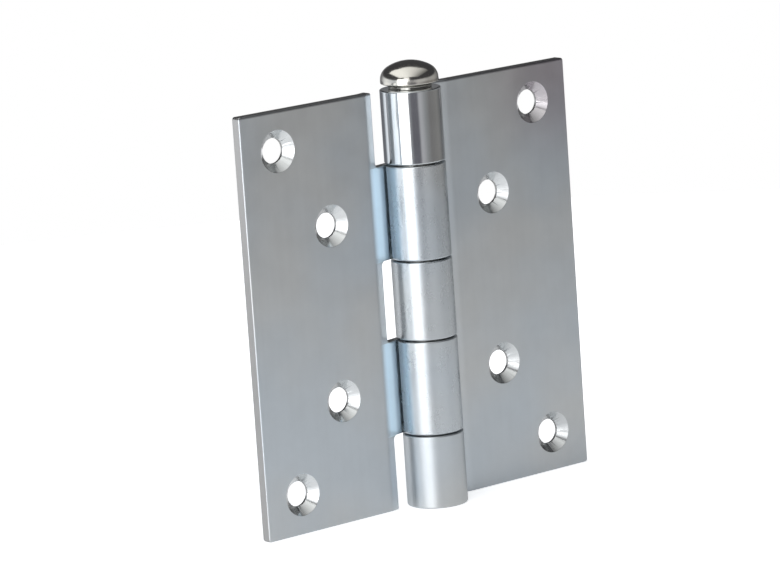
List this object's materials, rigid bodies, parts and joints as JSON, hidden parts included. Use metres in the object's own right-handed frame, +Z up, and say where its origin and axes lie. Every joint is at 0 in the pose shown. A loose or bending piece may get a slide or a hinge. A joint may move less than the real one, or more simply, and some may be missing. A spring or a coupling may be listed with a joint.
{
  "type": "loose pin butt hinge",
  "caption": "Square loose pin butt hinge with rolled knuckles, a button-headed lift-out pin and countersunk screw holes in a zigzag on each leaf.",
  "frame": {"origin": "on the pin's axis at the bottom end of the barrel, with the leaves opened flat", "axes": "+X across the leaves from the pin to the right leaf, +Y towards the surfaces that the leaves are screwed to, +Z up along the pin to its head"},
  "size_m": [0.089, 0.0128, 0.0948],
  "materials": {
    "leaf_steel": "bright zinc plated, rolled sheet",
    "pin_steel": "polished nickel-coloured plating"
  },
  "bodies": {
    "right_leaf": {"right_leaf": "leaf_steel"},
    "left_leaf": {"left_leaf": "leaf_steel"},
    "pin": {"pin": "pin_steel"}
  },
  "joints": [
    {"name": "leaf_swing", "type": "hinge", "parent": "right_leaf", "child": "left_leaf", "pos_m": [0, 0, 0], "axis": [0, 0, 1], "range_deg": [-125, 180]},
    {"name": "pin_lift", "type": "slide", "parent": "right_leaf", "child": "pin", "axis": [0, 0, 1], "range_m": [0, 0.09]}
  ]
}
